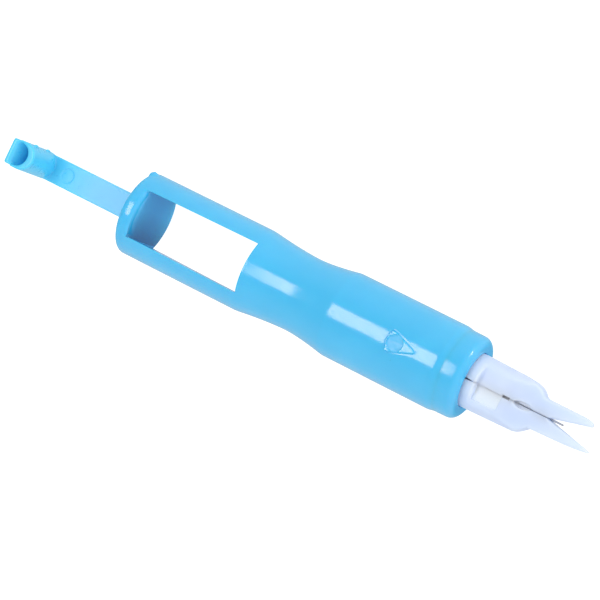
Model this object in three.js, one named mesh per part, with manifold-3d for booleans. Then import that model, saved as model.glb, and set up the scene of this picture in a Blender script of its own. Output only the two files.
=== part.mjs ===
// Sewing machine needle inserter and threader, a hand tool about 117 mm long.
//
// A hollow handle carries a needle holder on a flat arm at its rear end. A forked head slides in
// the handle's nose on a light return spring. The head is two moulded halves clamped in a collar,
// and a fixed steel wire runs between them: when the head is pressed back, the wire comes forward
// in the fork's V and pushes the thread through the eye of the needle.
//
// Millimetres. X runs along the tool, from the handle's rear face towards the fork, Y to the left
// and Z up, on the side with the triangle mark. Sections below are given from the tool's axis.

import * as THREE from 'three';
import { mergeVertices } from 'three/addons/utils/BufferGeometryUtils.js';
import Module from 'manifold-3d';

const wasm = await Module();
wasm.setup();

// Facets
const ROUND = 32; // sides of the handle and of the head
const SMALL_ROUND = 20; // sides of sockets, dimples and the holder post
const FINE_ROUND = 10; // sides of the wire, its sleeve and their bores
const ARC_STEPS = 4; // segments in a quarter round

// Handle barrel
const REAR_R = 7.72;
const FRONT_R = 7.82;
const REAR_FILLET = 1.0;
const WAIST_START = 25.0;
const WAIST_X = 35.0;
const WAIST_END = 42.9;
const WAIST_R = 6.82;
const WAIST_POWER = 1.6; // how round the bottom of the waist is
const WAIST_STEPS = 6;
const STEP_START = 63.9; // where the barrel steps down to the nose ring
const SEAM_X = 65.5; // joint between barrel and nose ring
const REAR_WALL = 3.0;
const REAR_BORE_R = 5.4;
const CHAMBER_START = 30.0; // step in the bore that the wire plug seats on
const CHAMBER_R = 5.8;
const SPIGOT_START = 59.05;
const SPIGOT_R = 6.25;

// Window through the barrel, slightly wider towards the front and wider below than above
const WINDOW_END = 25.55;
const WINDOW_HALF_REAR = 4.45;
const WINDOW_HALF_FRONT = 4.65;
const UNDER_HALF_REAR = 4.9;
const UNDER_HALF_FRONT = 5.2;

// Raised triangle mark with a round dimple
const MARK_TOP = 8.1;
const MARK_BASE_X = 54.9;
const MARK_APEX_X = 59.9;
const MARK_HALF = 1.75;
const MARK_CORNER = 0.35; // how far the base corners are cut back
const MARK_BULGE = 0.7; // pull of the bowed base edge
const MARK_BLUNT = 0.3; // rounding of the apex
const DIMPLE_X = 56.3;
const DIMPLE_R = 1.5;
const DIMPLE_DEPTH = 0.2;

// Gate witness on the left of the rear rim
const GATE_REAR = -0.2;
const GATE_FRONT = 0.9;
const GATE_HALF = 0.6;
const GATE_ROOT = 1.0; // how far it reaches into the barrel
const GATE_HEIGHT = 0.25; // how far it stands out of it
const GATE_TURN = 72; // degrees round from the top

// Nose ring
const RING_R = 7.58;
const RING_FRONT_R = 7.52;
const RING_FILLET = 1.5;
const FACE_X = 69.1;
const NOSE_HOLE_R = 4.95;

// Needle holder arm
const ARM_END = -24.6;
const ARM_TOP = -1.2;
const ARM_THICKNESS = 1.5;
const ARM_HALF = 2.4;
const TANG_END = 2.0; // how far the arm runs into the rear wall
const FIT_GAP = 0.05; // clearance between a seat and the piece in it
const POST_FRONT = -19.34;
const POST_TOP = 7.8;
const POST_HALF = 2.5;
const SOCKET_START = -22.0;
const SOCKET_FRONT = -20.7;
const SOCKET_HALF = 2.15;
const SOCKET_DEPTH = 4.0;
const SOCKET_LEAN = 1.85; // how far the socket's rear wall leans back at its mouth
const PILOT_R = 0.6; // narrow hole below the socket, for the needle's blade
const PILOT_DEPTH = 8.0;
const EJECTOR_X = -16.34;
const EJECTOR_R = 1.36;
const EJECTOR_DEPTH = 0.12;

// Wire, its sleeve and the plug that holds them
const WIRE_R = 0.17;
const WIRE_START = 34.0;
const WIRE_TIP = 86.4;
const SLEEVE_R = 0.6;
const SLEEVE_BORE_R = 0.21;
const SLEEVE_START = 31.2;
const SLEEVE_END = 63.0;
const PLUG_R = 5.75;
const PLUG_SHOULDER = 37.0;
const PLUG_PILOT_R = 4.3;
const PLUG_END = 40.5;
const PLUG_BORE_R = 0.66;

// Return spring
const SPRING_R = 4.9;
const SPRING_WIRE_R = 0.3;
const SPRING_TURNS = 8;
const SPRING_STEPS = 14; // per turn

// Stop collar
const COLLAR_START = 55.5;
const COLLAR_END = 59.0;
const COLLAR_R = 5.5;
const COLLAR_BORE_R = 3.95;

// Fork head
const TAIL_START = 52.5;
const NECK_R = 3.9;
const HEAD_R = 4.88;
const HEAD_FRONT_R = 4.72;
const HEAD_FRONT_X = 78.55;
const SLEEVE_WAY_R = 0.78;
const SLEEVE_WAY_END = 68.0;
const WIRE_WAY_R = 0.26;
const SLIT_HALF = 0.15; // half of the slit between the halves, behind the nose
const SLIT_END = 70.75;
const FLAT_START = 70.95;
const FLAT_END = 75.65;
const FLAT_Z = 3.4;
const ROOT_X = 82.05; // where the body has narrowed to the prongs
const ROOT_Z = 1.5;
const TIP_Z = 0.8;
const CROTCH_X = 84.25;
const CROTCH_HALF = 0.2;
const LONG_TIP_X = 92.4;
const SHORT_TIP_X = 91.05;
const PANEL_FAR = 2.75;
const PANEL_FLOOR = 3.15;
const OVAL_X = 79.1;
const OVAL_HALF_X = 1.45;
const OVAL_HALF_Y = 0.62;
const OVAL_FLOOR = 1.45;
const NOTCH_START = 75.7;
const NOTCH_END = 76.9;
const NOTCH_HALF = 0.2;
const NOTCH_FLOOR = 2.7;
const SLOT_START = 78.3; // slot over the wire, through the oval hollow to the crotch
const SLOT_HALF = 0.06;
const CROTCH_DEPTH = 0.4;

// Left prong, blunt, and right prong, longer and pointed: plan places from the parting plane
const LEFT = {
  innerY: 1.75, tipY: 2.2, outerY: 2.87, taper: 1.8, blunt: 0.35,
  rootX: 82.45, bendX: 81.25, bendY: 3.55, shoulderX: 77.55,
};
const RIGHT = {
  innerY: 1.98, tipY: 2.35, outerX: 87.55, outerY: 2.82, taper: 2.25, blunt: 0.3,
  rootX: 81.35, rootY: 3.0, shoulderX: 79.15, shoulderY: 4.9,
};

// Places below the prongs' roots where the wall is thinner
const THIN_TOP = -0.3;
const THIN_LEFT = { x0: 80.05, x1: 83.55, y0: 0.6, y1: 1.8 };
const THIN_RIGHT = { x0: 83.55, x1: 85.85, y0: -1.9, y1: -0.75 };

const BIG = 12; // reach of a cutting block beyond the tool's axis
const OVERLAP = 0.05; // between two cuts that meet

const blue = new THREE.MeshStandardMaterial({ color: 0x4fbdf0, roughness: 0.3, metalness: 0 });
const paleBlue = new THREE.MeshStandardMaterial({ color: 0x86d2f8, roughness: 0.35, metalness: 0 });
const milky = new THREE.MeshStandardMaterial({ color: 0xdde6fa, roughness: 0.35, metalness: 0 });
const white = new THREE.MeshStandardMaterial({ color: 0xe9eaec, roughness: 0.45, metalness: 0 });
const steel = new THREE.MeshStandardMaterial({ color: 0xa0a3a8, roughness: 0.25, metalness: 1 });

// ---------- Shape helpers ----------

function toSolid(geometry) {
  const bare = geometry.clone();
  bare.deleteAttribute('normal');
  bare.deleteAttribute('uv');
  const merged = mergeVertices(bare, 1e-5);
  const corners = merged.index.array;
  const kept = [];
  for (let i = 0; i < corners.length; i += 3) {
    const [a, b, c] = corners.slice(i, i + 3);
    if (a !== b && b !== c && c !== a) kept.push(a, b, c);
  }
  const vertProperties = new Float32Array(merged.attributes.position.array);
  const triVerts = new Uint32Array(kept);
  return new wasm.Manifold(new wasm.Mesh({ numProp: 3, vertProperties, triVerts }));
}

function toMesh(name, solid, material) {
  const { vertProperties, triVerts } = solid.getMesh();
  const geometry = new THREE.BufferGeometry();
  geometry.setAttribute('position', new THREE.BufferAttribute(vertProperties, 3));
  geometry.setIndex(new THREE.BufferAttribute(triVerts, 1));
  geometry.computeVertexNormals();
  const mesh = new THREE.Mesh(geometry, material);
  mesh.name = name;
  return mesh;
}

// Turns a closed profile of [x, radius] points about the tool's axis, with a flat facing down.
function turned(profile, sides = ROUND) {
  const points = profile.map(([x, r]) => new THREE.Vector2(r, x));
  const geometry = new THREE.LatheGeometry(points, sides, Math.PI / sides);
  return toSolid(geometry.rotateZ(-Math.PI / 2));
}

function rod(start, end, radius, sides = ROUND) {
  return turned([[start, 0], [start, radius], [end, radius], [end, 0]], sides);
}

function tube(start, end, outer, inner, sides = ROUND) {
  const ring = [[start, inner], [start, outer], [end, outer], [end, inner], [start, inner]];
  return turned(ring, sides);
}

function block(x0, x1, y0, y1, z0, z1) {
  const geometry = new THREE.BoxGeometry(x1 - x0, y1 - y0, z1 - z0);
  return toSolid(geometry.translate((x0 + x1) / 2, (y0 + y1) / 2, (z0 + z1) / 2));
}

// Extrudes a plan outline (x, y) from z0 up to z1.
function plan(shape, z0, z1) {
  const options = { depth: z1 - z0, bevelEnabled: false, curveSegments: ARC_STEPS };
  return toSolid(new THREE.ExtrudeGeometry(shape, options).translate(0, 0, z0));
}

// Extrudes a side outline (x, z) across the tool, from -half to +half in Y.
function side(points, half) {
  const shape = new THREE.Shape(points.map(([x, z]) => new THREE.Vector2(x, z)));
  const geometry = new THREE.ExtrudeGeometry(shape, { depth: 2 * half, bevelEnabled: false });
  return toSolid(geometry.translate(0, 0, -half).rotateX(Math.PI / 2));
}

function roundHole(x, y, radius, z0, z1, sides = SMALL_ROUND) {
  const geometry = new THREE.CylinderGeometry(radius, radius, z1 - z0, sides);
  return toSolid(geometry.rotateX(Math.PI / 2).translate(x, y, (z0 + z1) / 2));
}

// Points of a quarter round between two directions, in degrees, about a centre.
function quarter(cx, cy, radius, from, to) {
  return Array.from({ length: ARC_STEPS + 1 }, (_, i) => {
    const angle = THREE.MathUtils.degToRad(from + ((to - from) * i) / ARC_STEPS);
    return [cx + radius * Math.cos(angle), cy + radius * Math.sin(angle)];
  });
}

// ---------- Handle ----------

function waistRadius(x) {
  const rear = x < WAIST_X;
  const reach = rear ? WAIST_X - WAIST_START : WAIST_END - WAIST_X;
  const full = rear ? REAR_R : FRONT_R;
  return WAIST_R + (full - WAIST_R) * (Math.abs(x - WAIST_X) / reach) ** WAIST_POWER;
}

function barrelOutline() {
  const outline = [[0, 0], ...quarter(REAR_FILLET, REAR_R - REAR_FILLET, REAR_FILLET, 180, 90)];
  for (let i = 0; i <= 2 * WAIST_STEPS; i += 1) {
    const rear = i <= WAIST_STEPS;
    const start = rear ? WAIST_START : 2 * WAIST_X - WAIST_END;
    const x = start + ((WAIST_X - start) * i) / WAIST_STEPS;
    outline.push([x, waistRadius(x)]);
  }
  outline.push([STEP_START, FRONT_R]);
  outline.push([(STEP_START + SEAM_X) / 2, (FRONT_R + RING_R) / 2]);
  outline.push([SEAM_X, RING_R]);
  outline.push([SEAM_X, 0]);
  return outline;
}

function windowCut(halfRear, halfFront, z0, z1) {
  const shape = new THREE.Shape();
  shape.moveTo(REAR_WALL, -halfRear);
  shape.lineTo(WINDOW_END, -halfFront);
  shape.lineTo(WINDOW_END, halfFront);
  shape.lineTo(REAR_WALL, halfRear);
  return plan(shape, z0, z1);
}

// A pointer with a bowed base and a blunt apex, standing on the barrel.
function triangleMark() {
  const corner = MARK_BASE_X + MARK_CORNER;
  const flank = corner + MARK_CORNER;
  const tip = MARK_APEX_X - MARK_BLUNT;
  const shape = new THREE.Shape();
  shape.moveTo(corner, -MARK_HALF);
  shape.lineTo(flank, -MARK_HALF);
  shape.lineTo(tip, -MARK_BLUNT);
  shape.quadraticCurveTo(MARK_APEX_X + MARK_BLUNT, 0, tip, MARK_BLUNT);
  shape.lineTo(flank, MARK_HALF);
  shape.lineTo(corner, MARK_HALF);
  shape.quadraticCurveTo(MARK_BASE_X - MARK_BULGE, 0, corner, -MARK_HALF);
  const dimple = roundHole(DIMPLE_X, 0, DIMPLE_R, MARK_TOP - DIMPLE_DEPTH, MARK_TOP + 1);
  return plan(shape, FRONT_R - 1, MARK_TOP).subtract(dimple);
}

function barrel() {
  const gateRoot = REAR_R - GATE_ROOT;
  const gateTop = REAR_R + GATE_HEIGHT;
  const gate = block(GATE_REAR, GATE_FRONT, -GATE_HALF, GATE_HALF, gateRoot, gateTop);
  const chamber = turned([
    [REAR_WALL, 0], [REAR_WALL, REAR_BORE_R], [CHAMBER_START, REAR_BORE_R],
    [CHAMBER_START, CHAMBER_R], [COLLAR_END, CHAMBER_R], [COLLAR_END, SPIGOT_R],
    [SEAM_X + 1, SPIGOT_R], [SEAM_X + 1, 0],
  ]);
  const tangHalf = ARM_HALF + FIT_GAP;
  const tangTop = ARM_TOP + FIT_GAP;
  const tangBottom = ARM_TOP - ARM_THICKNESS - FIT_GAP;
  const tangSlot = block(-1, TANG_END + FIT_GAP, -tangHalf, tangHalf, tangBottom, tangTop);
  const solid = turned(barrelOutline())
    .add(gate.rotate([-GATE_TURN, 0, 0]))
    .subtract(chamber)
    .subtract(windowCut(WINDOW_HALF_REAR, WINDOW_HALF_FRONT, -1, BIG))
    .subtract(windowCut(UNDER_HALF_REAR, UNDER_HALF_FRONT, -BIG, 0))
    .subtract(tangSlot)
    .add(triangleMark());
  return toMesh('barrel', solid, blue);
}

function noseRing() {
  const shoulder = FACE_X - RING_FILLET;
  const profile = [
    [SPIGOT_START, NOSE_HOLE_R], [SPIGOT_START, SPIGOT_R], [SEAM_X, SPIGOT_R], [SEAM_X, RING_R],
    ...quarter(shoulder, RING_FRONT_R - RING_FILLET, RING_FILLET, 90, 0),
    [FACE_X, NOSE_HOLE_R], [SPIGOT_START, NOSE_HOLE_R],
  ];
  return toMesh('nose_ring', turned(profile), blue);
}

// ---------- Needle holder arm ----------

// Plan of the post or of its socket: square towards the end, half round towards the handle.
function holderPlan(rear, front, half) {
  const centre = Math.max(front - half, rear);
  const shape = new THREE.Shape();
  shape.moveTo(rear, -half);
  shape.lineTo(centre, -half);
  shape.absellipse(centre, 0, front - centre, half, -Math.PI / 2, Math.PI / 2);
  shape.lineTo(rear, half);
  return shape;
}

// The socket's rear wall leans back towards its mouth.
function socketLean() {
  const floor = POST_TOP - SOCKET_DEPTH;
  const mouth = SOCKET_START - SOCKET_LEAN;
  const inside = SOCKET_START + OVERLAP;
  const profile = [[SOCKET_START, floor], [inside, floor], [inside, BIG], [mouth, BIG], [mouth, POST_TOP]];
  return side(profile, SOCKET_HALF);
}

function inserterArm() {
  const bottom = ARM_TOP - ARM_THICKNESS;
  const strip = block(ARM_END, TANG_END, -ARM_HALF, ARM_HALF, bottom, ARM_TOP);
  const post = plan(holderPlan(ARM_END, POST_FRONT, POST_HALF), bottom, POST_TOP);
  const socketPlan = holderPlan(SOCKET_START, SOCKET_FRONT, SOCKET_HALF);
  const socket = plan(socketPlan, POST_TOP - SOCKET_DEPTH, POST_TOP + 1).add(socketLean());
  const socketX = (SOCKET_START + SOCKET_FRONT) / 2;
  const pilot = roundHole(socketX, 0, PILOT_R, POST_TOP - PILOT_DEPTH, POST_TOP);
  const ejector = roundHole(EJECTOR_X, 0, EJECTOR_R, ARM_TOP - EJECTOR_DEPTH, ARM_TOP + 1);
  const solid = strip.add(post).subtract(socket).subtract(pilot).subtract(ejector);
  return toMesh('inserter_arm', solid, paleBlue);
}

// ---------- Wire and what holds it ----------

function wirePlug() {
  const pilot = rod(PLUG_SHOULDER - 1, PLUG_END, PLUG_PILOT_R);
  const body = rod(CHAMBER_START, PLUG_SHOULDER, PLUG_R).add(pilot);
  const bore = rod(SLEEVE_START - FIT_GAP, PLUG_END + 1, PLUG_BORE_R, FINE_ROUND);
  return toMesh('wire_plug', body.subtract(bore), white);
}

function wireSleeve() {
  const sleeve = tube(SLEEVE_START, SLEEVE_END, SLEEVE_R, SLEEVE_BORE_R, FINE_ROUND);
  return toMesh('wire_sleeve', sleeve, steel);
}

// The tip is notched, so that it catches the thread.
function hookWire() {
  const notchHalf = WIRE_R / 3;
  const notch = block(WIRE_TIP - WIRE_R, WIRE_TIP + 1, -1, 1, -notchHalf, notchHalf);
  const solid = rod(WIRE_START, WIRE_TIP, WIRE_R, FINE_ROUND).subtract(notch);
  return toMesh('hook_wire', solid, steel);
}

class Helix extends THREE.Curve {
  constructor(start, end, radius, turns) {
    super();
    Object.assign(this, { start, end, radius, turns });
  }

  getPoint(t, target = new THREE.Vector3()) {
    const angle = 2 * Math.PI * this.turns * t;
    const x = this.start + (this.end - this.start) * t;
    return target.set(x, this.radius * Math.cos(angle), this.radius * Math.sin(angle));
  }
}

function returnSpring() {
  const start = PLUG_SHOULDER + SPRING_WIRE_R + 0.1;
  const end = COLLAR_START - SPRING_WIRE_R - 0.1;
  const section = new THREE.Shape().absarc(0, 0, SPRING_WIRE_R, 0, 2 * Math.PI);
  const extrudePath = new Helix(start, end, SPRING_R, SPRING_TURNS);
  const steps = SPRING_TURNS * SPRING_STEPS;
  const geometry = new THREE.ExtrudeGeometry(section, { steps, curveSegments: 3, extrudePath });
  return toMesh('return_spring', toSolid(geometry), steel);
}

// ---------- Sliding head ----------

function stopCollar() {
  return toMesh('stop_collar', tube(COLLAR_START, COLLAR_END, COLLAR_R, COLLAR_BORE_R), white);
}

// Outside of both halves together, before they are parted: round, with a flat above and below
// that runs down to the thin prongs.
function headBlank() {
  const round = turned([
    [TAIL_START, 0], [TAIL_START, NECK_R], [COLLAR_END, NECK_R], [COLLAR_END, HEAD_R],
    [FLAT_START, HEAD_R], [HEAD_FRONT_X, HEAD_FRONT_R], [LONG_TIP_X + 1, HEAD_FRONT_R],
    [LONG_TIP_X + 1, 0],
  ]);
  const half = [
    [TAIL_START - 1, BIG], [FLAT_START, BIG], [FLAT_START, FLAT_Z], [FLAT_END, FLAT_Z],
    [ROOT_X, ROOT_Z], [LONG_TIP_X + 1, TIP_Z],
  ];
  const mirrored = half.map(([x, z]) => [x, -z]).reverse();
  return round.intersect(side([...half, ...mirrored], BIG));
}

// Everything that both halves leave free along the axis: sleeve, wire, notch, oval hollow and slot.
function headWays() {
  const oval = new THREE.Shape().absellipse(OVAL_X, 0, OVAL_HALF_X, OVAL_HALF_Y, 0, 2 * Math.PI);
  return rod(TAIL_START - 1, SLEEVE_WAY_END, SLEEVE_WAY_R, FINE_ROUND)
    .add(rod(SLEEVE_WAY_END - 1, CROTCH_X + 1, WIRE_WAY_R, FINE_ROUND))
    .add(block(NOTCH_START, NOTCH_END, -NOTCH_HALF, NOTCH_HALF, NOTCH_FLOOR, BIG))
    .add(block(SLOT_START, CROTCH_X, -SLOT_HALF, SLOT_HALF, 0, BIG))
    .add(plan(oval, OVAL_FLOOR, BIG));
}

// Starts a half's plan along the parting plane, on the side given by sign, as far as the crotch.
function halfPlan(sign) {
  const shape = new THREE.Shape();
  shape.moveTo(TAIL_START - 1, sign * BIG);
  shape.lineTo(TAIL_START - 1, sign * SLIT_HALF);
  shape.lineTo(FACE_X, sign * SLIT_HALF);
  shape.lineTo(SLIT_END, 0);
  shape.lineTo(CROTCH_X - CROTCH_DEPTH, 0);
  shape.lineTo(CROTCH_X, sign * CROTCH_HALF);
  return shape;
}

function thinned({ x0, x1, y0, y1 }) {
  return block(x0, x1, y0, y1, -BIG, THIN_TOP);
}

// Left half: a blunt prong below a rounded shoulder.
function forkLeft() {
  const { innerY, tipY, outerY, taper, blunt, rootX, bendX, bendY, shoulderX } = LEFT;
  const shape = halfPlan(1);
  shape.lineTo(SHORT_TIP_X - blunt, innerY);
  shape.quadraticCurveTo(SHORT_TIP_X, innerY, SHORT_TIP_X, tipY);
  shape.quadraticCurveTo(SHORT_TIP_X, outerY - blunt / 2, SHORT_TIP_X - taper, outerY);
  shape.lineTo(rootX, outerY);
  shape.quadraticCurveTo((rootX + bendX) / 2, outerY, bendX, bendY);
  shape.quadraticCurveTo((bendX + shoulderX) / 2, HEAD_R, shoulderX, HEAD_R);
  shape.lineTo(shoulderX, BIG);
  const solid = headBlank()
    .intersect(plan(shape, -BIG, BIG))
    .subtract(headWays())
    .subtract(thinned(THIN_LEFT));
  return toMesh('fork_left', solid, milky);
}

// Right half: a longer pointed prong below a chamfered shoulder, and a shallow panel in the flat.
function forkRight() {
  const { innerY, tipY, outerX, outerY, taper, blunt, rootX, rootY, shoulderX, shoulderY } = RIGHT;
  const shape = halfPlan(-1);
  shape.lineTo(LONG_TIP_X - blunt, -innerY);
  shape.quadraticCurveTo(LONG_TIP_X + blunt / 3, -(innerY + tipY) / 2, LONG_TIP_X - blunt, -tipY);
  shape.quadraticCurveTo(LONG_TIP_X - taper, -outerY + blunt / 3, outerX, -outerY);
  shape.lineTo(rootX, -rootY);
  shape.lineTo(shoulderX, -shoulderY);
  shape.lineTo(shoulderX, -BIG);
  const panel = block(FLAT_START + 0.1, FLAT_END, -PANEL_FAR, 0, PANEL_FLOOR, BIG);
  const solid = headBlank()
    .intersect(plan(shape, -BIG, BIG))
    .subtract(headWays())
    .subtract(panel)
    .subtract(thinned(THIN_RIGHT));
  return toMesh('fork_right', solid, milky);
}

// ---------- Assembly ----------

const handle = new THREE.Group();
handle.add(barrel(), noseRing(), inserterArm(), wirePlug(), wireSleeve(), hookWire(), returnSpring());

const head = new THREE.Group();
head.add(stopCollar(), forkLeft(), forkRight());

// The origin is under the middle of the tool, on the surface that it lies on.
const tool = new THREE.Group();
tool.add(handle, head);
tool.position.set(-(ARM_END + LONG_TIP_X) / 2, 0, FRONT_R * Math.cos(Math.PI / ROUND));

export default tool;
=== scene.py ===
import math

import bmesh
import bpy
import numpy as np
from mathutils import Matrix, Vector


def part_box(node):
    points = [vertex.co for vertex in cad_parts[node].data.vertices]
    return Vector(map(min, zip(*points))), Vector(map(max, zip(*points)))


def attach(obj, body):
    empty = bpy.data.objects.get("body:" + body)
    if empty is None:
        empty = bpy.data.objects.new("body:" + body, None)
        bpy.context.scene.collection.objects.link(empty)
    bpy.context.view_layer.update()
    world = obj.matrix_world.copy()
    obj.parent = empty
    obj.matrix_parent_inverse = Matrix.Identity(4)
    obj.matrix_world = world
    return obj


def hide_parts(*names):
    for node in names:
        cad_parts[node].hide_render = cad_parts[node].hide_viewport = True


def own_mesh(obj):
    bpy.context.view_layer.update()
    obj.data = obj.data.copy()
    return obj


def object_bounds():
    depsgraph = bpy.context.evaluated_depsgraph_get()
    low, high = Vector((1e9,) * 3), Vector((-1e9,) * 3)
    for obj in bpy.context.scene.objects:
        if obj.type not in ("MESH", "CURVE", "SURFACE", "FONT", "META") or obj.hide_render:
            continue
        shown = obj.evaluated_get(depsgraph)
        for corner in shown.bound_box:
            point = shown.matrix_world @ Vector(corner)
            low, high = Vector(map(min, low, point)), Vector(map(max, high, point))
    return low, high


# Fine meshes, materials, light and camera for a sewing machine needle inserter and threader.
# Shapes are in millimetres from the handle's rear face: x along the tool, y to its left and z up
# from its axis, on the side with the triangle mark. place() carries them into the frame.

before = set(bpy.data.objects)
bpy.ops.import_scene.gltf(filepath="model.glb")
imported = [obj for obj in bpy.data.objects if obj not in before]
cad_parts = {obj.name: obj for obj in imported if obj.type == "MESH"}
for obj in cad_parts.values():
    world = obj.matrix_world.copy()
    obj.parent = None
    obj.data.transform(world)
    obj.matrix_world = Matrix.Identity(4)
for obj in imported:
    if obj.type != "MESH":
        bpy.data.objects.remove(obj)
cad_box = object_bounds()

MM = 0.001

# Handle barrel
REAR_R = 7.72
FRONT_R = 7.82
REAR_FILLET = 1.0
WAIST_START = 25.0
WAIST_X = 35.0
WAIST_END = 42.9
WAIST_R = 6.82
WAIST_POWER = 1.6
WAIST_BLEND = 0.9  # length over which the waist's ends are rounded
STEP_START = 63.9
SEAM_X = 65.5
REAR_WALL = 3.0
REAR_BORE_R = 5.4
CHAMBER_START = 30.0
CHAMBER_R = 5.8
SPIGOT_START = 59.05
SPIGOT_R = 6.25

# Window through the barrel
WINDOW_END = 25.55
WINDOW_HALF_REAR = 4.45
WINDOW_HALF_FRONT = 4.65
UNDER_HALF_REAR = 4.9
UNDER_HALF_FRONT = 5.2
WINDOW_EDGE = 0.16  # rounding of its rims
WALL_EDGE = 1.0  # rounding between the rear rim and the window's end wall
RIM_CROWN = 0.085  # curve of the rear rim's top, per millimetre

# Triangle mark
MARK_TOP = 8.1
MARK_BASE_X = 54.9
MARK_APEX_X = 59.9
MARK_HALF = 1.75
MARK_WALL = 0.12
DIMPLE_X = 56.3
DIMPLE_R = 1.5
DIMPLE_DEPTH = 0.2
GROOVE_DEPTH = 0.03

# Gate witness on the left of the rear rim
GATE_X = 0.35
GATE_TURN = 72  # degrees round from the top
GATE_REACH = 1.35
GATE_HEIGHT = 0.5
GATE_ROWS = 24  # rows of the barrel's grid within its reach

# Nose ring
RING_R = 7.58
RING_FRONT_R = 7.52
RING_FILLET = 1.5
FACE_X = 69.1
NOSE_HOLE_R = 4.95

# Needle holder arm
ARM_END = -24.6
ARM_TOP = -1.2
ARM_THICKNESS = 1.5
ARM_HALF = 2.4
TANG_END = 2.0
POST_FRONT = -19.34
POST_TOP = 7.8
POST_HALF = 2.5
SOCKET_START = -22.0
SOCKET_FRONT = -20.7
RING_START = -23.25  # where the post's round part ends at its rear plate
SOCKET_HALF = 2.15
SOCKET_DEPTH = 4.0
SOCKET_LEAN = 1.75  # how far its rear wall curves back at the mouth
PILOT_R = 0.6
PILOT_DEPTH = 8.0
EJECTOR_X = -16.34
EJECTOR_R = 1.36
EJECTOR_DEPTH = 0.1
FLASH_AT = (5.3, 0.3)  # heights of two flash lumps on the post's left flank
FLASH_X = -21.2
FLASH_R = 0.34
FLASH_STRETCH = 2.2
ARM_STEP = 0.13

# Wire, sleeve and plug
WIRE_R = 0.17
WIRE_START = 34.0
WIRE_TIP = 86.4
SLEEVE_R = 0.6
SLEEVE_BORE_R = 0.21
SLEEVE_START = 31.2
SLEEVE_END = 63.0
PLUG_R = 5.75
PLUG_SHOULDER = 37.0
PLUG_PILOT_R = 4.3
PLUG_END = 40.5
PLUG_BORE_R = 0.66

# Return spring and stop collar
SPRING_R = 4.9
SPRING_WIRE_R = 0.3
SPRING_TURNS = 9
COLLAR_START = 55.5
COLLAR_END = 59.0
COLLAR_R = 5.5
COLLAR_BORE_R = 3.95

# Fork head
TAIL_START = 52.5
NECK_R = 3.9
HEAD_R = 4.88
HEAD_FRONT_R = 4.72
HEAD_FRONT_X = 78.55
SLEEVE_WAY_R = 0.78
SLEEVE_WAY_END = 68.0
WIRE_WAY_R = 0.26
SLIT_HALF = 0.15
SLIT_END = 70.75
FLAT_START = 70.95
FLAT_END = 75.65
FLAT_Z = 3.4
ROOT_X = 82.05
ROOT_Z = 1.5
TIP_Z = 0.8
CROTCH_X = 84.25
CROTCH_HALF = 0.2
LONG_TIP_X = 92.4
SHORT_TIP_X = 91.05
PANEL_FAR = 2.75
PANEL_FLOOR = 3.15
OVAL_X = 79.1
OVAL_HALF_X = 1.45
OVAL_HALF_Y = 0.62
OVAL_FLOOR = 1.45
NOTCH_START = 75.7
NOTCH_END = 76.9
NOTCH_HALF = 0.2
NOTCH_FLOOR = 2.7
SLOT_START = 78.3
SLOT_HALF = 0.06  # slot over the wire, through the oval hollow to the crotch
PARTING_GAP = 0.003
FORK_STEP = 0.1
LEFT_SIDE = 2.87  # plan of the left prong's outer side
LEFT_ROOT_X = 82.45
LEFT_BEND = (81.25, 3.55)
LEFT_SHOULDER_X = 77.55
RIGHT_SIDE = -2.82  # and of the right one's
RIGHT_OUTER_X = 87.55
RIGHT_ROOT = (81.35, -3.0)
RIGHT_SHOULDER = (79.15, -4.9)
THIN_LEFT = ((80.05, 83.55), (0.6, 1.8))  # x and y of the hollows under the prongs' roots
THIN_RIGHT = ((83.55, 85.85), (-1.9, -0.75))
THIN_TOP = -0.3

LATHE_SIDES = 160
FINE_SIDES = 40

# The tool's axis and rear face in the frame
AXIS_Z = sum(corner.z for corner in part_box("hook_wire")) / 2
REAR_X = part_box("nose_ring")[1].x - FACE_X * MM
TO_FRAME = Matrix.Translation((REAR_X, 0, AXIS_Z)) @ Matrix.Scale(MM, 4)


def place(x, y, z):
    return TO_FRAME @ Vector((x, y, z))


# ---------- Meshes ----------

TURNED_CREASE = 32  # degrees above which an edge stays sharp, on turned and gridded pieces
SKIN_CREASE = 75  # and on skinned ones

def new_piece(name, vertices, faces, body, nodes, material, crease=TURNED_CREASE):
    """Makes a mesh piece from millimetre vertices, smooth except at edges sharper than crease degrees."""
    mesh = bpy.data.meshes.new(name)
    mesh.from_pydata([tuple(v) for v in vertices], [], [tuple(f) for f in faces])
    bm = bmesh.new()
    bm.from_mesh(mesh)
    bmesh.ops.recalc_face_normals(bm, faces=bm.faces)
    bm.to_mesh(mesh)
    bm.free()
    return finish_piece(name, mesh, body, nodes, material, crease)


def finish_piece(name, mesh, body, nodes, material, crease=TURNED_CREASE):
    mesh.transform(TO_FRAME)
    mesh.shade_smooth()
    mesh.set_sharp_from_angle(angle=math.radians(crease))
    mesh.materials.append(material)
    piece = bpy.data.objects.new(name, mesh)
    bpy.context.scene.collection.objects.link(piece)
    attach(piece, body)
    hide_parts(*nodes)
    return piece


def rounded(points, steps=5):
    """Rounds the corners of a closed outline of (x, y, radius) points. A radius of 0 keeps a corner."""
    outline = []
    for i, (x, y, radius) in enumerate(points):
        here = Vector((x, y))
        if radius == 0:
            outline.append(here)
            continue
        back = (Vector(points[i - 1][:2]) - here).normalized()
        ahead = (Vector(points[(i + 1) % len(points)][:2]) - here).normalized()
        half = back.angle(ahead) / 2
        centre = here + (back + ahead).normalized() * (radius / math.sin(half))
        start = here + back * (radius / math.tan(half)) - centre
        end = here + ahead * (radius / math.tan(half)) - centre
        turns = (start.slerp(end, k / steps) * radius for k in range(steps + 1))
        outline.extend(centre + turn for turn in turns)
    return outline


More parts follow.
